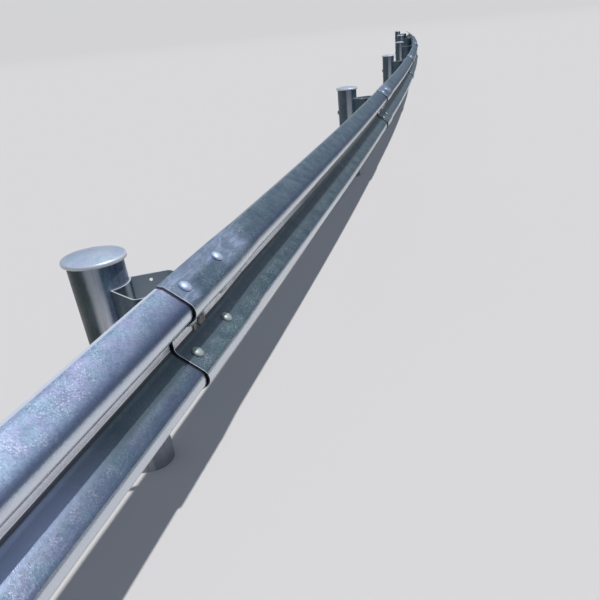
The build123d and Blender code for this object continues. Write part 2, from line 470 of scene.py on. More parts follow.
def remap(tree, value, low, high, new_low=0.0, new_high=1.0):
    """Smooth step of a value from one range to another."""
    inputs = {
        "Value": value,
        "From Min": low,
        "From Max": high,
        "To Min": new_low,
        "To Max": new_high,
    }
    made = node(tree, "ShaderNodeMapRange", inputs, interpolation_type="SMOOTHSTEP")
    return made.outputs["Result"]


def blend_colors(tree, factor, first, second, blend_type="MIX"):
    """Mix of two colours by a factor."""
    inputs = {0: factor, 6: first, 7: second}
    settings = {"data_type": "RGBA", "blend_type": blend_type}
    return node(tree, "ShaderNodeMix", inputs, **settings).outputs[2]


def noise(tree, position, size, detail, roughness=0.55, distortion=0.0):
    """Noise whose features are about this size in metres."""
    scale = math_node(tree, "DIVIDE", 1.0, size)
    inputs = {
        "Vector": position,
        "Scale": scale,
        "Detail": detail,
        "Roughness": roughness,
        "Distortion": distortion,
    }
    return node(tree, "ShaderNodeTexNoise", inputs).outputs[0]


def part_of(tree, vector, axis):
    """One number out of a vector: 0 for its x, 1 for its y, 2 for its z."""
    return node(tree, "ShaderNodeSeparateXYZ", {0: vector}).outputs[axis]


def facing(tree, direction, kind="Normal"):
    """How squarely the surface faces a direction, from -1 to 1."""
    normal = tree.nodes.new("ShaderNodeNewGeometry").outputs[kind]
    inputs = {0: normal, 1: direction}
    return node(tree, "ShaderNodeVectorMath", inputs, operation="DOT_PRODUCT").outputs["Value"]


def new_group(name, inputs, outputs, kind="ShaderNodeTree"):
    """Node group with named inputs, each with its kind and value, and named outputs."""
    group = bpy.data.node_groups.new(name, kind)
    new_socket = group.interface.new_socket
    for label, socket_kind, value in inputs:
        socket = new_socket(label, in_out="INPUT", socket_type="NodeSocket" + socket_kind)
        if value is not None:
            socket.default_value = value
    for label, socket_kind in outputs:
        new_socket(label, in_out="OUTPUT", socket_type="NodeSocket" + socket_kind)
    group_in = group.nodes.new("NodeGroupInput").outputs
    group_out = group.nodes.new("NodeGroupOutput").inputs
    return group, group_in, group_out


# Shared surface effects


def make_zinc_coat():
    """Hot dip zinc: soft clouds, wisps, small crystals and bright flecks."""
    group, given, result = new_group(
        "zinc_coat",
        [
            ("Position", "Vector", None),
            ("Light Zinc", "Color", (0.6, 0.6, 0.6, 1)),
            ("Dark Zinc", "Color", (0.3, 0.3, 0.3, 1)),
            ("Fleck Color", "Color", (0.8, 0.8, 0.8, 1)),
            ("Cloud Size", "Float", 0.12),
            ("Crystal Size", "Float", 0.010),
            ("Crystals", "Float", 0.3),
            ("Flecks", "Float", 0.5),
            ("Pits", "Float", 0.3),
            ("Mean Roughness", "Float", 0.4),
        ],
        [("Color", "Color"), ("Roughness", "Float"), ("Height", "Float")],
    )
    position, cloud_size = given["Position"], given["Cloud Size"]
    crystal_size = given["Crystal Size"]
    clouds = remap(group, noise(group, position, cloud_size, 5.0, 0.6, 0.7), *cloud_levels)
    wisp_size = math_node(group, "MULTIPLY", cloud_size, wisp_size_share)
    wisp_noise = noise(group, position, wisp_size, 5.0, 0.6, 2.2)
    ridge = math_node(group, "ABSOLUTE", math_node(group, "SUBTRACT", wisp_noise, 0.5))
    wisps = remap(group, ridge, 0.0, wisp_width, 1.0, 0.0)
    crystal_scale = math_node(group, "DIVIDE", 1.0, crystal_size)
    cells = node(group, "ShaderNodeTexVoronoi", {"Vector": position, "Scale": crystal_scale})
    crystal_tone = node(group, "ShaderNodeSeparateColor", {0: cells.outputs["Color"]}).outputs[0]
    fleck_size = math_node(group, "MULTIPLY", crystal_size, fleck_size_share)
    fleck_noise = noise(group, position, fleck_size, 2.0)
    patch_size = math_node(group, "MULTIPLY", crystal_size, patch_size_share)
    patches = remap(group, noise(group, position, patch_size, 2.0), *patch_levels)
    flecks = math_node(group, "MULTIPLY", remap(group, fleck_noise, *fleck_levels), patches)
    # Tone from the clouds, the wisps and the crystals
    cloud_share = math_node(group, "MULTIPLY", clouds, cloud_tone)
    wisp_share = math_node(group, "MULTIPLY_ADD", wisps, wisp_tone, cloud_share)
    crystal_offset = math_node(group, "SUBTRACT", crystal_tone, 0.5)
    inputs = (crystal_offset, given["Crystals"], wisp_share)
    tone = math_node(group, "MULTIPLY_ADD", *inputs, clamp=True)
    color = blend_colors(group, tone, given["Dark Zinc"], given["Light Zinc"])
    # Slow drift of the cast, then pits, then flecks
    drift_size = math_node(group, "MULTIPLY", cloud_size, drift_size_share)
    drift = remap(group, noise(group, position, drift_size, 3.0, 0.6), *drift_levels)
    cast = blend_colors(group, drift, green_cast, pink_cast)
    color = blend_colors(group, 1.0, color, cast, "MULTIPLY")
    pit_noise = remap(group, fleck_noise, *pit_levels)
    pit_factor = math_node(group, "MULTIPLY", pit_noise, given["Pits"], clamp=True)
    pit_color = blend_colors(group, pit_depth, given["Dark Zinc"], black)
    color = blend_colors(group, pit_factor, color, pit_color)
    fleck_factor = math_node(group, "MULTIPLY", flecks, given["Flecks"], clamp=True)
    color = blend_colors(group, fleck_factor, color, given["Fleck Color"])
    roughest = math_node(group, "ADD", given["Mean Roughness"], roughness_margin)
    roughness = math_node(group, "MULTIPLY_ADD", tone, tone_roughness, roughest)
    height = math_node(group, "MULTIPLY_ADD", crystal_tone, crystal_relief, tone)
    for label, socket in (("Color", color), ("Roughness", roughness), ("Height", height)):
        group.links.new(socket, result[label])
    return group


def make_band():
    """Band between two heights with its own softness at each edge, and a broken outline."""
    group, given, result = new_group(
        "height_band",
        [
            ("Height", "Float", 0.0),
            ("Low", "Float", 0.0),
            ("High", "Float", 0.01),
            ("Low Softness", "Float", 0.002),
            ("High Softness", "Float", 0.002),
            ("Break Up", "Float", 0.0),
            ("Break Pattern", "Float", 0.5),
        ],
        [("Mask", "Float")],
    )
    wander = math_node(group, "SUBTRACT", given["Break Pattern"], 0.5)
    height = math_node(group, "MULTIPLY_ADD", wander, given["Break Up"], given["Height"])
    rise_from = math_node(group, "SUBTRACT", given["Low"], given["Low Softness"])
    fall_to = math_node(group, "ADD", given["High"], given["High Softness"])
    risen = remap(group, height, rise_from, given["Low"])
    fallen = remap(group, height, given["High"], fall_to, 1.0, 0.0)
    group.links.new(math_node(group, "MULTIPLY", risen, fallen), result["Mask"])
    return group


def make_runs():
    """Stains that ran down a surface and dried in thin upright streaks."""
    group, given, result = new_group(
        "dried_runs",
        [
            ("Position", "Vector", None),
            ("Width", "Float", 0.01),
            ("Length", "Float", 0.2),
            ("Amount", "Float", 0.5),
        ],
        [("Mask", "Float")],
    )
    parts = node(group, "ShaderNodeSeparateXYZ", {0: given["Position"]}).outputs
    squeeze = math_node(group, "DIVIDE", given["Width"], given["Length"])
    lowered = math_node(group, "MULTIPLY", parts[2], squeeze)
    inputs = {0: parts[0], 1: parts[1], 2: lowered}
    stretched = node(group, "ShaderNodeCombineXYZ", inputs).outputs[0]
    streaks = remap(group, noise(group, stretched, given["Width"], 3.0, 0.6), *run_levels)
    group.links.new(math_node(group, "MULTIPLY", streaks, given["Amount"]), result["Mask"])
    return group


zinc_coat = make_zinc_coat()
height_band = make_band()
dried_runs = make_runs()


def use_group(tree, group, inputs):
    """Places a shared group in a material with its own values."""
    return node(tree, "ShaderNodeGroup", inputs, node_tree=group).outputs


def emptied_tree(owner):
    """Node tree of a material or a world, with nothing in it."""
    owner.use_nodes = True
    owner.node_tree.nodes.clear()
    return owner.node_tree


def add_object(name, data):
    """Puts a new object with this data in the scene."""
    made = bpy.data.objects.new(name, data)
    bpy.context.scene.collection.objects.link(made)
    return made


def new_material(name, metallic):
    """Material with an empty tree but for its shader, and its Object coordinates."""
    material = bpy.data.materials.new(name)
    tree = emptied_tree(material)
    shader = node(tree, "ShaderNodeBsdfPrincipled", {"Metallic": metallic})
    output = tree.nodes.new("ShaderNodeOutputMaterial")
    tree.links.new(shader.outputs[0], output.inputs[0])
    position = tree.nodes.new("ShaderNodeTexCoord").outputs["Object"]
    return material, tree, shader, position


def new_zinc(name, metallic, coat_name):
    """Material with one of the zinc coats, ready for its own marks."""
    material, tree, shader, position = new_material(name, metallic)
    zinc = use_group(tree, zinc_coat, {"Position": position, **coats[coat_name]})
    return material, tree, shader, position, zinc


def finish_shader(tree, shader, color, roughness, height, kind):
    """Connects a colour, a roughness and a small relief to a shader."""
    tree.links.new(color, shader.inputs["Base Color"])
    tree.links.new(roughness, shader.inputs["Roughness"])
    inputs = {"Strength": 1.0, "Distance": relief_heights[kind], "Height": height}
    relief = node(tree, "ShaderNodeBump", inputs)
    tree.links.new(relief.outputs[0], shader.inputs["Normal"])


# Finishes


def into_frame(tree, position, place):
    """Coordinates in the frame of a post: along the rail, across it and up."""
    back = place.inverted()
    inputs = {
        "Vector": position,
        "Location": back.to_translation(),
        "Rotation": back.to_euler(),
    }
    return node(tree, "ShaderNodeMapping", inputs).outputs[0]


def band(tree, height, low, high, low_softness, high_softness, break_up=0.0, pattern=0.5):
    """Mask between two heights."""
    inputs = {
        "Height": height,
        "Low": low,
        "High": high,
        "Low Softness": low_softness,
        "High Softness": high_softness,
        "Break Up": break_up,
        "Break Pattern": pattern,
    }
    return use_group(tree, height_band, inputs)["Mask"]


def tint(tree, color, mask, strength, new_color):
    """Colour mixed towards another one where a mask is set."""
    factor = math_node(tree, "MULTIPLY", mask, strength, clamp=True)
    return blend_colors(tree, factor, color, new_color)


def rail_coordinates(tree, position, number, places, centre_height):
    """Where a point of a beam lies: along it from both its posts, and across its waves."""
    local = into_frame(tree, position, places[number - 1])
    next_local = into_frame(tree, position, places[number])
    from_centre = math_node(tree, "SUBTRACT", part_of(tree, position, 2), centre_height)
    wave_side = math_node(tree, "SIGN", from_centre)
    above_crest = math_node(tree, "MULTIPLY_ADD", wave_side, -crest_from_centre, from_centre)
    return {
        "local": local,
        "along": part_of(tree, local, 0),
        "along_next": part_of(tree, next_local, 0),
        "from_centre": from_centre,
        "from_middle": math_node(tree, "ABSOLUTE", from_centre),
        "above_crest": above_crest,
        "lower_wave": band(tree, from_centre, *height_bands["lower_wave"]),
        "broken": noise(tree, position, break_size, 4.0, 0.65),
    }


def tint_waves(tree, at, tone, color):
    """Tints of the lower wave, darker but less so near the next post; painted shade on the deep
    side of the valley and under the upper wave, lightened near the next post by a painted sky
    reflection; and a painted dark reflection on the strip below the lip.
    """
    along, along_next, from_centre = at["along"], at["along_next"], at["from_centre"]
    # Near the next post the lower wave is darkened less and the deep side lightened, as a
    # painted sky reflection
    near_end = remap(tree, along_next, *next_post_fades["near_end"], tone["near_end"], 0.0)
    lower_share = math_node(tree, "MULTIPLY_ADD", near_end, lower_tint_at_end, 1.0)
    lower_mask = math_node(tree, "MULTIPLY", at["lower_wave"], lower_share)
    color = blend_colors(tree, lower_mask, color, tone["lower_tint"], "MULTIPLY")
    # Painted shade on the deep side of the valley
    deep_side = band(tree, from_centre, *height_bands["deep_side"])
    color = tint(tree, color, deep_side, mark_shares["deep_side"], painted_deep_shade)
    # Painted shade under the upper wave, away from the lap on the later beams
    under_wave = band(tree, from_centre, *height_bands["under_wave"])
    far_share = remap(tree, along, *fades["under_wave"], 0.0, tone["under_wave_end"])
    color = tint(tree, color, under_wave, far_share, painted_deep_shade)
    # Painted sky reflection on the deep side near the next post
    color = tint(tree, color, deep_side, near_end, painted_near_sky_reflection)
    # Painted dark reflection on the strip below the lip, stronger towards the next lap
    below_lip = band(tree, from_centre, *height_bands["below_lip"])
    shares = (tone["lip_shade"], mark_shares["below_lip"])
    lip_share = remap(tree, along_next, *next_post_fades["lip_shade"], *shares)
    return tint(tree, color, below_lip, lip_share, painted_dark_reflection)


def shade_crests(tree, at, tone, color):
    """Painted dark reflection as a strip above the face of each wave, weak at the lap and on the
    lower wave.
    """
    lower_wave, strength = at["lower_wave"], tone["crest_shade"]
    above_face = math_node(tree, "MULTIPLY_ADD", lower_wave, lower_shade_drop, at["above_crest"])
    # Painted dark reflection above each crest
    shade = band(tree, above_face, *crest_bands["shade"], shade_break, at["broken"])
    less = -lower_shade_share * strength
    share = math_node(tree, "MULTIPLY_ADD", lower_wave, less, strength)
    past_lap = remap(tree, at["along"], *fades["crest_shade"], shade_share_at_lap, 1.0)
    share = math_node(tree, "MULTIPLY", share, past_lap)
    return tint(tree, color, shade, share, painted_dark_reflection)


def brighten_faces(tree, at, tone, color):
    """Painted reflections of the lit floor on the face of each wave and on the flat of the
    valley, painted shade along a line under each crest and in the valley's lower corner, and the
    mask of where they mirror.
    """
    along, from_centre, lower_wave = at["along"], at["from_centre"], at["lower_wave"]
    # Painted reflection of the lit floor on the face of each wave
    top = math_node(tree, "MULTIPLY_ADD", lower_wave, lower_face_rise, face_top)
    low = remap(tree, along, *fades["face_low"], face_low, tone["face_low_end"])
    fade = math_node(tree, "MULTIPLY_ADD", lower_wave, lower_face_fade, face_fade)
    edges = (low, top, face_low_softness, fade)
    face = band(tree, at["above_crest"], *edges, face_break, at["broken"])
    face_share = remap(tree, along, *fades["face"], tone["face_start"], tone["face_end"])
    color = tint(tree, color, face, face_share, painted_floor_reflection)
    # Painted shade along a thin line under each crest
    painted_shade_line = band(tree, at["above_crest"], *crest_bands["painted_shade"])
    color = tint(tree, color, painted_shade_line, mark_shares["painted_shade_line"], painted_shade)
    # Painted reflection of the lit floor on the valley's flat, fading along the later beams
    valley = band(tree, from_centre, *height_bands["valley"])
    shares = (mark_shares["valley"], tone["valley_end"])
    valley_share = remap(tree, along, *fades["valley"], *shares)
    color = tint(tree, color, valley, valley_share, painted_valley_reflection)
    # Painted shade in the valley's lower corner
    corner = band(tree, from_centre, *height_bands["corner"])
    color = tint(tree, color, corner, mark_shares["corner"], painted_shade)
    bright_valley = math_node(tree, "MULTIPLY", valley, valley_share)
    return color, math_node(tree, "MAXIMUM", face, bright_valley)


def mark_edges(tree, at, tone, color):
    """Painted highlights on the cut edges and the lap's end edge, pale scuffs with a painted
    sheen about the bolts, and painted shade on the cut face and in the gap at each lap.
    """
    # Painted highlight along the cut edges, strongest on the first beam
    cut_edge = band(tree, at["from_middle"], *height_bands["cut_edge"])
    past_swage = remap(tree, at["along"], *fades["past_swage"])
    edge = math_node(tree, "MULTIPLY", cut_edge, past_swage)
    color = tint(tree, color, edge, tone["edge"], painted_highlight)
    # Pale scuffs with a painted sheen about the bolts
    color = tint(tree, color, bolt_scuffs_and_sheen(tree, at), mark_shares["scuffs_and_sheen"], scuff_and_sheen_zinc)
    # Painted highlight along the end edge of the lap
    lap_edge = band(tree, at["along"], *lap_bands["edge"])
    color = tint(tree, color, lap_edge, mark_shares["lap_edge"], painted_highlight)
    # Painted shade on the cut face of the lap, strongest near the rail's middle
    cut_face = band(tree, at["along"], *lap_bands["cut_face"])
    cut_share = remap(tree, at["from_middle"], *cut_face_heights, *cut_face_shares)
    color = tint(tree, color, cut_face, cut_share, painted_shade)
    # Painted contact shade along the gap at the lap's edge
    lap_contact_shade = band(tree, at["along_next"], *lap_bands["painted_shade"], contact_shade_break, at["broken"])
    return tint(tree, color, lap_contact_shade, mark_shares["lap_contact_shade"], painted_shade)


def rail_finish(number, places, centre_height):
    """Zinc of one rail beam, with its painted reflections, shade and highlights on its road side
    and plain on its back.
    """
    tone = rail_tones[min(number, len(rail_tones)) - 1]
    name = "galvanised_rail_" + str(number)
    material, tree, shader, position, zinc = new_zinc(name, metal_share, tone["coat"])
    at = rail_coordinates(tree, position, number, places, centre_height)
    color = tint_waves(tree, at, tone, zinc["Color"])
    color = shade_crests(tree, at, tone, color)
    color, mirrored = brighten_faces(tree, at, tone, color)
    color = mark_edges(tree, at, tone, color)

    # The painted reflections, shades and highlights show only on the road side; the back gets a
    # plain tone
    on_front = remap(tree, facing(tree, road_direction, "True Normal"), *front_fade)
    back_color = blend_colors(tree, mark_shares["back"], zinc["Color"], back_zinc)
    color = blend_colors(tree, on_front, back_color, color)
    mirrored = math_node(tree, "MULTIPLY", mirrored, on_front)
    metallic = math_node(tree, "MULTIPLY_ADD", mirrored, mirror_metal, metal_share)
    tree.links.new(metallic, shader.inputs["Metallic"])
    rough = math_node(tree, "MULTIPLY_ADD", mirrored, mirror_roughness, zinc["Roughness"])
    grain = math_node(tree, "SUBTRACT", 1.0, mirrored)
    fine_height = math_node(tree, "MULTIPLY", zinc["Height"], grain)
    ripples = lap_ripples(tree, at["along"], position)
    height = math_node(tree, "MULTIPLY_ADD", ripples, ripple_height, fine_height)
    finish_shader(tree, shader, color, rough, height, "rail")
    return material


def bolt_scuffs_and_sheen(tree, at):
    """Pale scuffs and a painted sheen at the end of the lap, past the splice bolts and under the
    lip.
    """
    along, from_centre = at["along"], at["from_centre"]
    at_end = band(tree, along, *lap_bands["end"])
    past_bolts = band(tree, along, *lap_bands["past_bolts"])
    under_lip = band(tree, from_centre, *height_bands["under_lip"])
    before_plain = remap(tree, along, *fades["before_plain"], 1.0, 0.0)
    under_lip = math_node(tree, "MULTIPLY", under_lip, before_plain)
    worn_and_sheen = math_node(tree, "MAXIMUM", math_node(tree, "MAXIMUM", at_end, past_bolts), under_lip)
    inputs = {0: at["local"], 1: scuff_and_sheen_stretch}
    drawn_out = node(tree, "ShaderNodeVectorMath", inputs, operation="MULTIPLY").outputs[0]
    streak_noise = noise(tree, drawn_out, scuff_and_sheen_size, 4.0, 0.6, 1.2)
    streaks = remap(tree, streak_noise, *streak_levels, weakest_streak, 1.0)
    upper_rows = remap(tree, from_centre, *scuff_and_sheen_heights)
    return math_node(tree, "MULTIPLY", math_node(tree, "MULTIPLY", worn_and_sheen, streaks), upper_rows)


def lap_ripples(tree, along, position):
    """Shallow dents past the lap, where the sheet was pressed to fit."""
    past_lap = remap(tree, along, *fades["ripples_in"])
    before_plain = remap(tree, along, *fades["ripples_out"], 1.0, 0.0)
    zone = math_node(tree, "MULTIPLY", past_lap, before_plain)
    return math_node(tree, "MULTIPLY", noise(tree, position, ripple_size, 1.0), zone)


def add_runs(tree, position, color, sizes, run_color):
    """Colour with dried runs over it, of a width, a length and an amount."""
    inputs = dict(zip(("Width", "Length", "Amount"), sizes))
    runs = use_group(tree, dried_runs, {"Position": position, **inputs})
    return blend_colors(tree, runs["Mask"], color, run_color)


def post_finish():
    """Zinc of the posts: grey green, with a paler stripe of painted reflection, a darker side of
    painted dark reflection, thin dried runs and a dusty foot made paler by a painted reflection
    of the floor.
    """
    material, tree, shader, position, zinc = new_zinc("galvanised_post", metal_share, "post")
    up = part_of(tree, position, 2)
    # Pale stripe: a painted reflection of the lit floor, weaker towards the top
    wander = noise(tree, position, wander_size, 3.0)
    towards = facing(tree, reflection_stripe_direction)
    stripe_place = math_node(tree, "MULTIPLY_ADD", wander, stripe_wander, towards)
    stripe = remap(tree, stripe_place, *stripe_fade)
    weaker_top = remap(tree, up, *stripe_heights, stripe_top_share, 1.0)
    stripe = math_node(tree, "MULTIPLY", stripe, weaker_top)
    color = tint(tree, zinc["Color"], stripe, 1.0, painted_stripe_reflection)
    # Darker side: a painted dark reflection, weaker on the posts further along the row
    dark_side = remap(tree, facing(tree, dark_side_direction), *dark_side_fade)
    dark_side_share = remap(tree, part_of(tree, position, 0), *dark_side_stretch, *dark_side_shares)
    color = tint(tree, color, dark_side, dark_side_share, painted_dark_side)
    color = add_runs(tree, position, color, post_runs, post_run)
    # Foot: pale dust with a painted reflection of the floor, up to an uneven height
    splash_noise = noise(tree, position, splash_size, 4.0, 0.65)
    splash_top = math_node(tree, "MULTIPLY", splash_noise, splash_height)
    above_splash = math_node(tree, "SUBTRACT", up, splash_top)
    splash_and_reflection = remap(tree, above_splash, 0.0, splash_fade, splash_and_reflection_share, 0.0)
    color = blend_colors(tree, splash_and_reflection, color, foot_dust_and_reflection)
    rough = math_node(tree, "MULTIPLY_ADD", splash_and_reflection, splash_roughness, zinc["Roughness"])
    finish_shader(tree, shader, color, rough, zinc["Height"], "post")
    return material


def cap_finish():
    """Pale, cleaner zinc of the pressed caps, with a painted highlight on the rim."""
    material, tree, shader, position, zinc = new_zinc("galvanised_cap", metal_share, "cap")
    # Painted highlight on the steep rim, which also reflects less as metal
    flatness = math_node(tree, "ABSOLUTE", facing(tree, up_direction))
    side = remap(tree, flatness, *rim_fade, 1.0, 0.0)
    color = tint(tree, zinc["Color"], side, rim_share, painted_highlight)
    metallic = math_node(tree, "MULTIPLY_ADD", side, rim_metal, metal_share)
    tree.links.new(metallic, shader.inputs["Metallic"])
    finish_shader(tree, shader, color, zinc["Roughness"], zinc["Height"], "cap")
    return material


def blockout_finish(number, places):
    """Dull zinc of one blockout, with painted light on its shaded inside and a painted highlight
    on its upward facing cut edges.
    """
    name = "galvanised_blockout_" + str(number)
    material, tree, shader, position, zinc = new_zinc(name, dull_metal_share, "blockout")
    color = add_runs(tree, position, zinc["Color"], blockout_runs, blockout_run)
    normal = tree.nodes.new("ShaderNodeNewGeometry").outputs["True Normal"]
    # Painted light on the inside walls, which face the blockout's middle
    from_middle = part_of(tree, into_frame(tree, position, places[number - 1]), 0)
    outward = math_node(tree, "MULTIPLY", from_middle, part_of(tree, normal, 0))
    inside = remap(tree, outward, *inside_fade)
    color = tint(tree, color, inside, inside_share, painted_inside_light)
    # Painted highlight where the blockout faces up
    cut_edge = remap(tree, part_of(tree, normal, 2), *plate_edge_fade)
    color = blend_colors(tree, cut_edge, color, painted_edge_highlight)
    finish_shader(tree, shader, color, zinc["Roughness"], zinc["Height"], "blockout")
    return material


def stained_finish(name):
    """Zinc with dark mottled stains, for the rail washers and the bolt heads on them."""
    material, tree, shader, position, zinc = new_zinc(name, dull_metal_share, name)
    stains = remap(tree, noise(tree, position, stain_size, 4.0, 0.6, 0.8), *stain_fade)
    stains = math_node(tree, "MULTIPLY", stains, stain_share)
    color = blend_colors(tree, stains, zinc["Color"], stain)
    finish_shader(tree, shader, color, zinc["Roughness"], zinc["Height"], "stained")
    return material


def fastener_finish(centre_height):
    """Brighter spun zinc of the bolts and nuts, with stained pits, and a painted blue sky
    reflection on those of the upper wave.
    """
    material, tree, shader, position, zinc = new_zinc("zinc_fastener", metal_share, "fastener")
    pits = remap(tree, noise(tree, position, pit_size, 3.0), *pit_fade)
    pits = math_node(tree, "MULTIPLY", pits, pit_share)
    color = blend_colors(tree, pits, zinc["Color"], fastener_pit)
    # Painted sky reflection on the upper wave's fasteners
    up = part_of(tree, position, 2)
    upper = remap(tree, up, centre_height + blue_start, centre_height + blue_end)
    color = tint(tree, color, upper, blue_share, painted_sky_reflection_blue)
    finish_shader(tree, shader, color, zinc["Roughness"], zinc["Height"], "fastener")
    return material


# Fasteners


def float_inputs(names):
    """Interface rows for number inputs, and for the seats and the finish."""
    rows = [("Seats", "Geometry", None), ("Finish", "Material", None)]
    rows.extend((name, "Float", 0.0) for name in names)
    return rows


def place_on_seats(tree, given, result, shape):
    """Sets a shape on every seat, along the seat's facing attribute, as one real mesh."""
    inputs, kind = {"Name": "facing"}, "GeometryNodeInputNamedAttribute"
    outward = node(tree, kind, inputs, data_type="FLOAT_VECTOR").outputs[0]
    turned = node(tree, "FunctionNodeAlignRotationToVector", {"Vector": outward}, axis="Z")
    inputs = {"Points": given["Seats"], "Instance": shape, "Rotation": turned.outputs[0]}
    placed = node(tree, "GeometryNodeInstanceOnPoints", inputs)
    real = node(tree, "GeometryNodeRealizeInstances", {0: placed.outputs[0]})
    inputs = {"Geometry": real.outputs[0], "Material": given["Finish"]}
    painted = node(tree, "GeometryNodeSetMaterial", inputs)
    tree.links.new(painted.outputs[0], result["Fasteners"])


def mesh_position(tree):
    """The x, y and z of every vertex of a shape."""
    place = tree.nodes.new("GeometryNodeInputPosition").outputs[0]
    return node(tree, "ShaderNodeSeparateXYZ", {0: place}).outputs


def make_domed_heads():
    """Low domed bolt heads with a short rim, flat underneath."""
    rows = float_inputs(["Radius", "Height", "Rim"])
    outputs = [("Fasteners", "Geometry")]
    tree, given, result = new_group("domed_heads", rows, outputs, "GeometryNodeTree")
    inputs = {"Segments": head_segments, "Rings": head_rings, "Radius": 1.0}
    ball = node(tree, "GeometryNodeMeshUVSphere", inputs)
    x, y, z = mesh_position(tree)
    upper_half = math_node(tree, "GREATER_THAN", z, under_middle)
    rim = math_node(tree, "MULTIPLY", upper_half, given["Rim"])
    rise = math_node(tree, "MULTIPLY", math_node(tree, "MAXIMUM", z, 0.0), given["Height"])
    wide_x = math_node(tree, "MULTIPLY", x, given["Radius"])
    wide_y = math_node(tree, "MULTIPLY", y, given["Radius"])
    inputs = {0: wide_x, 1: wide_y, 2: math_node(tree, "ADD", rim, rise)}
    place = node(tree, "ShaderNodeCombineXYZ", inputs)
    inputs = {"Geometry": ball.outputs[0], "Position": place.outputs[0]}
    head = node(tree, "GeometryNodeSetPosition", inputs)
    smooth = node(tree, "GeometryNodeSetShadeSmooth", {"Geometry": head.outputs[0]})
    place_on_seats(tree, given, result, smooth.outputs[0])
    return tree


def chamfered_hexagon(tree, given, base):
    """Six sided nut from a height up, with its top corners taken off."""
    inputs = {
        "Vertices": nut_vertices,
        "Side Segments": 1,
        "Fill Segments": 2,
        "Radius": 1.0,
        "Depth": 1.0,
    }
    drum = node(tree, "GeometryNodeMeshCylinder", inputs)
    x, y, z = mesh_position(tree)
    # The rim of the drum goes out to the six flats, the ring inside it stays round
    angle = math_node(tree, "ARCTAN2", y, x)
    in_side = math_node(tree, "FLOORED_MODULO", angle, math.pi / 3)
    in_side = math_node(tree, "SUBTRACT", in_side, math.pi / 6)
    half_flats = math_node(tree, "MULTIPLY", given["Across Flats"], 0.5)
    side = math_node(tree, "DIVIDE", half_flats, math_node(tree, "COSINE", in_side))
    inner = math_node(tree, "MULTIPLY", half_flats, nut_top_share)
    flat = node(tree, "ShaderNodeCombineXYZ", {0: x, 1: y}).outputs[0]
    length = node(tree, "ShaderNodeVectorMath", {0: flat}, operation="LENGTH")
    from_middle = length.outputs["Value"]
    outside = math_node(tree, "GREATER_THAN", from_middle, between_rings)
    past_inner = math_node(tree, "SUBTRACT", side, inner)
    reach = math_node(tree, "MULTIPLY_ADD", past_inner, outside, inner)
    # The top falls towards its corners
    past_top = math_node(tree, "SUBTRACT", reach, inner)
    fall = math_node(tree, "MULTIPLY", past_top, nut_chamfer_slope)
    on_top = math_node(tree, "GREATER_THAN", z, 0.0)
    fallen = math_node(tree, "SUBTRACT", given["Height"], fall)
    top = math_node(tree, "MULTIPLY", fallen, on_top)
    scale = math_node(tree, "DIVIDE", reach, from_middle)
    wide_x = math_node(tree, "MULTIPLY", x, scale)
    wide_y = math_node(tree, "MULTIPLY", y, scale)
    place = node(tree, "ShaderNodeCombineXYZ", {0: wide_x, 1: wide_y, 2: top})
    inputs = {0: place.outputs[0], 1: base}
    lifted = node(tree, "ShaderNodeVectorMath", inputs, operation="ADD")
    inputs = {"Geometry": drum.outputs[0], "Position": lifted.outputs[0]}
    return node(tree, "GeometryNodeSetPosition", inputs).outputs[0]


def upright_cylinder(tree, sides, radius, low, high):
    """Cylinder between two heights, smooth round its side."""
    depth = math_node(tree, "SUBTRACT", high, low)
    middle = math_node(tree, "MULTIPLY", math_node(tree, "ADD", low, high), 0.5)
    inputs = {"Vertices": sides, "Radius": radius, "Depth": depth}
    made = node(tree, "GeometryNodeMeshCylinder", inputs)
    lift = node(tree, "ShaderNodeCombineXYZ", {2: middle}).outputs[0]
    inputs = {"Geometry": made.outputs["Mesh"], "Translation": lift}
    moved = node(tree, "GeometryNodeTransform", inputs)
    inputs = {"Geometry": moved.outputs[0], "Selection": made.outputs["Side"]}
    return node(tree, "GeometryNodeSetShadeSmooth", inputs).outputs[0]


def make_nuts():
    """Six sided nuts or heads on a round washer, with the bolt's shank and its end."""
    rows, outputs = float_inputs(nut_sizes(0.0)), [("Fasteners", "Geometry")]
    tree, given, result = new_group("nuts_on_shanks", rows, outputs, "GeometryNodeTree")
    washer_thickness = given["Washer Thickness"]
    base = node(tree, "ShaderNodeCombineXYZ", {2: washer_thickness}).outputs[0]
    nut = chamfered_hexagon(tree, given, base)
    washer = upright_cylinder(tree, washer_sides, given["Washer Radius"], 0.0, washer_thickness)
    below = math_node(tree, "MULTIPLY", given["Shank Below"], -1.0)
    nut_top = math_node(tree, "ADD", washer_thickness, given["Height"])
    top = math_node(tree, "ADD", nut_top, given["Shank End"])
    shank = upright_cylinder(tree, shank_sides, given["Shank Radius"], below, top)
    joined = tree.nodes.new("GeometryNodeJoinGeometry")
    for part in (nut, washer, shank):
        tree.links.new(part, joined.inputs[0])
    place_on_seats(tree, given, result, joined.outputs[0])
    return tree


def make_fasteners(name, tree, seats, sizes, finish):
    """One mesh piece of fasteners of a kind, made by a node tree on a list of seats."""
    points = bpy.data.meshes.new(name + "_seats")
    points.from_pydata([place for place, outward in seats], [], [])
    facings = points.attributes.new("facing", "FLOAT_VECTOR", "POINT")
    for index, (place, outward) in enumerate(seats):
        facings.data[index].vector = outward
    carrier = add_object(name + "_seats", points)
    modifier = carrier.modifiers.new("fasteners", "NODES")
    modifier.node_group = tree
    values = {**sizes, "Finish": finish}
    for item in tree.interface.items_tree:
        is_input = item.item_type == "SOCKET" and item.in_out == "INPUT"
        if is_input and item.name in values:
            modifier[item.identifier] = values[item.name]
    evaluated = carrier.evaluated_get(bpy.context.evaluated_depsgraph_get())
    mesh = bpy.data.meshes.new_from_object(evaluated)
    carrier.modifiers.remove(modifier)
    bpy.data.objects.remove(carrier)
    bpy.data.meshes.remove(points)
    piece = add_object(name, mesh)
    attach(piece, "root")


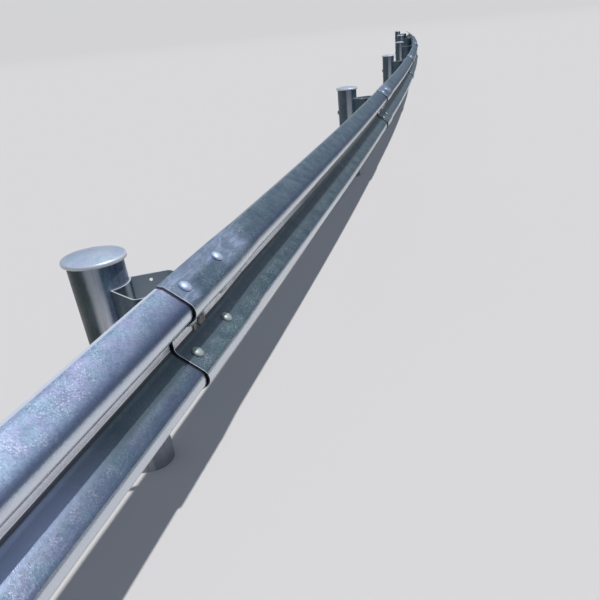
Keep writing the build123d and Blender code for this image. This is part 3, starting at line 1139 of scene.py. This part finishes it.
def seats_at(places, local_seats):
    """Seats given in a post's own frame, at each of several posts."""
    seats = []
    for place in places:
        for middle, outward in local_seats:
            seats.append((place @ middle, place.to_3x3() @ outward))
    return seats


def nut_sizes(shank_below, end=shank_end):
    """Inputs of the nut tree for a shank that reaches this far below the seat."""
    return {
        "Across Flats": nut_across_flats,
        "Height": nut_height,
        "Washer Radius": plain_washer_radius,
        "Washer Thickness": plain_washer_thickness,
        "Shank Radius": shank_radius,
        "Shank Below": shank_below,
        "Shank End": end,
    }


def add_fasteners(places, centre_height):
    """Splice bolts at the laps, the rail bolts and the bolts through posts and blockouts."""
    finish, stained = fastener_finish(centre_height), stained_finish("stained_head")
    heads, nuts = make_domed_heads(), make_nuts()
    to_road, from_road = Vector((0, -1, 0)), Vector((0, 1, 0))
    laps, ends = places[1:-1], [places[0], places[-1]]

    # Splice bolts through both sheets of each lap
    lap_sheets = 2 * sheet_thickness + lap_clearance
    over_lap = lap_sheets - sheet_thickness / 2 + seat_gap
    behind_lap = sheet_thickness / 2 + seat_gap
    head_seats, nut_seats = [], []
    for middle, outward in splice_holes(places):
        head_seats.append((middle + outward * over_lap, outward))
        nut_seats.append((middle - outward * behind_lap, -outward))
    sizes = {"Radius": splice_head_radius, "Height": splice_head_height, "Rim": head_rim}
    make_fasteners("splice_bolt_heads", heads, seats_at(laps, head_seats), sizes, finish)
    sizes = nut_sizes(lap_sheets)
    make_fasteners("splice_nuts", nuts, seats_at(laps, nut_seats), sizes, finish)

    # Rail bolts, with their heads on the washers and their nuts inside the blockouts
    plain_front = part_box("rail_washer_1")[0].y - seat_gap
    lapped_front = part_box("rail_washer_2")[0].y - seat_gap
    rail_seats = seats_at(laps, [(Vector((0, lapped_front, centre_height)), to_road)])
    rail_seats += seats_at(ends, [(Vector((0, plain_front, centre_height)), to_road)])
    sizes = {"Radius": rail_head_radius, "Height": rail_head_height, "Rim": head_rim}
    make_fasteners("rail_bolt_heads", heads, rail_seats, sizes, stained)
    inner_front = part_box("blockout_1")[0].y + blockout_wall + seat_gap
    nut_seats = seats_at(places, [(Vector((0, inner_front, centre_height)), from_road)])
    sizes = nut_sizes(inner_front - plain_front)
    make_fasteners("rail_bolt_nuts", nuts, nut_seats, sizes, finish)

    # Post bolts, with their nuts inside the blockouts and their heads behind the posts
    post_low, post_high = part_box("post_1")
    back_wall = post_low.y - blockout_wall - 2 * seat_gap
    nut_seats = seats_at(places, [(Vector((0, back_wall, centre_height)), to_road)])
    sizes = nut_sizes(post_high.y - back_wall)
    make_fasteners("post_bolt_nuts", nuts, nut_seats, sizes, finish)
    head_seats = seats_at(places, [(Vector((0, post_high.y, centre_height)), from_road)])
    sizes = nut_sizes(0.0, -post_head_height / 2)
    sizes["Height"] = post_head_height
    make_fasteners("post_bolt_heads", nuts, head_seats, sizes, finish)


# Setting


def add_floor():
    """Plain pale floor, fading into the background far away."""
    signs = [(-1, -1), (1, -1), (1, 1), (-1, 1)]
    corners = [(x * floor_reach, y * floor_reach, 0) for x, y in signs]
    mesh = bpy.data.meshes.new("floor")
    mesh.from_pydata(corners, [], [(0, 1, 2, 3)])
    floor = add_object("floor", mesh)
    material = bpy.data.materials.new("pale_floor")
    tree = emptied_tree(material)
    position = tree.nodes.new("ShaderNodeTexCoord").outputs["Object"]
    distance = node(tree, "ShaderNodeVectorMath", {0: position}, operation="LENGTH")
    far = remap(tree, distance.outputs["Value"], *floor_fade)
    near_floor = node(tree, "ShaderNodeBsdfDiffuse", {"Color": floor_color}).outputs[0]
    inputs = {"Color": far_color, "Strength": 1.0}
    far_floor = node(tree, "ShaderNodeEmission", inputs).outputs[0]
    mixed = node(tree, "ShaderNodeMixShader", {0: far, 1: near_floor, 2: far_floor})
    output = tree.nodes.new("ShaderNodeOutputMaterial")
    tree.links.new(mixed.outputs[0], output.inputs[0])
    mesh.materials.append(material)


def add_light():
    """High soft sun from the road side and an even pale fill."""
    lamp = bpy.data.lights.new("sun", "SUN")
    lamp.energy = sun_strength
    lamp.angle = sun_angle
    sun = add_object("sun", lamp)
    sun.rotation_mode = "QUATERNION"
    sun.rotation_quaternion = Vector(sun_direction).to_track_quat("Z", "Y")
    world = bpy.data.worlds.new("pale_surroundings")
    bpy.context.scene.world = world
    tree = emptied_tree(world)
    path = tree.nodes.new("ShaderNodeLightPath").outputs
    direction = tree.nodes.new("ShaderNodeTexCoord").outputs["Generated"]
    climb = remap(tree, part_of(tree, direction, 2), *sky_fade)
    sky = blend_colors(tree, climb, horizon_color, zenith_color)
    seen_color = blend_colors(tree, path["Is Camera Ray"], sky, far_color)
    seen = math_node(tree, "MAXIMUM", path["Is Camera Ray"], path["Is Glossy Ray"])
    seen = math_node(tree, "MAXIMUM", seen, path["Is Transmission Ray"])
    strength = math_node(tree, "MULTIPLY_ADD", seen, 1.0 - fill_strength, fill_strength)
    background = node(tree, "ShaderNodeBackground", {"Color": seen_color, "Strength": strength})
    output = tree.nodes.new("ShaderNodeOutputWorld")
    tree.links.new(background.outputs[0], output.inputs[0])


def add_camera():
    """Camera at the photo's viewing angle."""
    data = bpy.data.cameras.new("camera")
    data.sensor_width = sensor_width * 1000
    data.lens = camera_lens * 1000
    data.shift_x, data.shift_y = camera_shift
    data.clip_end = camera_reach
    camera = add_object("camera", data)
    axes = Matrix((camera_right, camera_up, camera_back)).transposed()
    camera.matrix_world = Matrix.Translation(camera_place) @ axes.to_4x4()
    bpy.context.scene.camera = camera


def paint_nodes(places, centre_height):
    """Gives every carried over part its finish."""
    finishes = {
        "post_cap": cap_finish(),
        "post": post_finish(),
        "rail_washer": stained_finish("stained_washer"),
    }
    for name, part in frame["nodes"].items():
        kind, number = name.rsplit("_", 1)
        if kind == "rail_beam":
            finish = rail_finish(int(number), places, centre_height)
        elif kind == "blockout":
            finish = blockout_finish(int(number), places)
        else:
            finish = finishes[kind]
        for material_slot in part.material_slots:
            material_slot.material = finish


places = post_frames()
low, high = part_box("rail_beam_1")
rail_centre = (low.z + high.z) / 2

paint_nodes(places, rail_centre)
add_fasteners(places, rail_centre)
add_floor()
add_light()
add_camera()
bpy.context.scene.view_settings.view_transform = "Standard"
